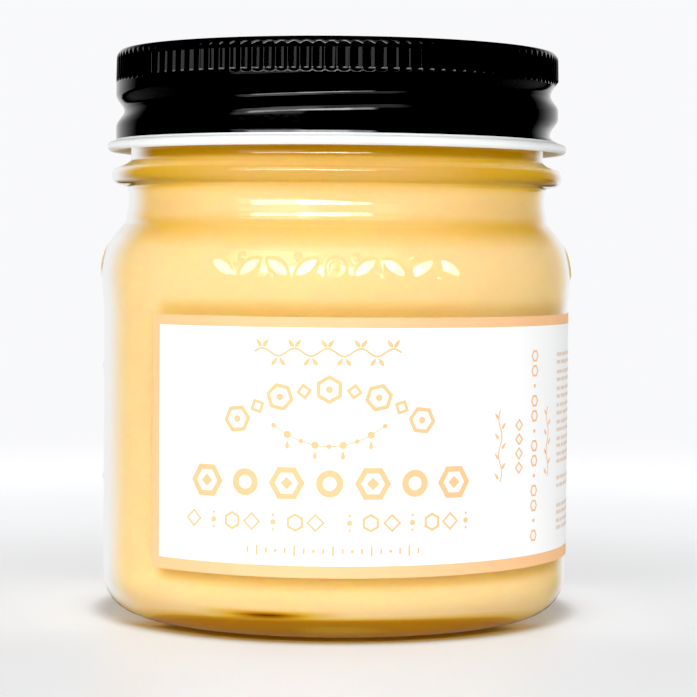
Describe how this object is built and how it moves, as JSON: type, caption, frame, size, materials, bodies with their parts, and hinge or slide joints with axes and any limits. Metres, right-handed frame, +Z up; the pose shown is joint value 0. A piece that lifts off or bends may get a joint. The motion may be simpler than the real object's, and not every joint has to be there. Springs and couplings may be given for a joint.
{
  "type": "honey jar",
  "caption": "Clear glass screw-top jar of pale creamed honey, with a black fluted metal screw cap and a white paper label round its body.",
  "frame": {"origin": "centre of the circle that the jar stands on", "axes": "+Z up along the jar's axis, -Y towards the front of the label, +X to the right of the label's front"},
  "size_m": [0.0752, 0.0754, 0.0887],
  "materials": {
    "glass": "clear polished glass with low moulded relief",
    "honey": "opaque pale gold creamed honey",
    "cap_metal": "black gloss lacquer, white inside coating showing on the curled edge",
    "label_paper": "satin coated paper with a pale peach print"
  },
  "bodies": {
    "root": {"jar": "glass", "honey": "honey", "lid": "cap_metal", "label": "label_paper"}
  },
  "joints": []
}
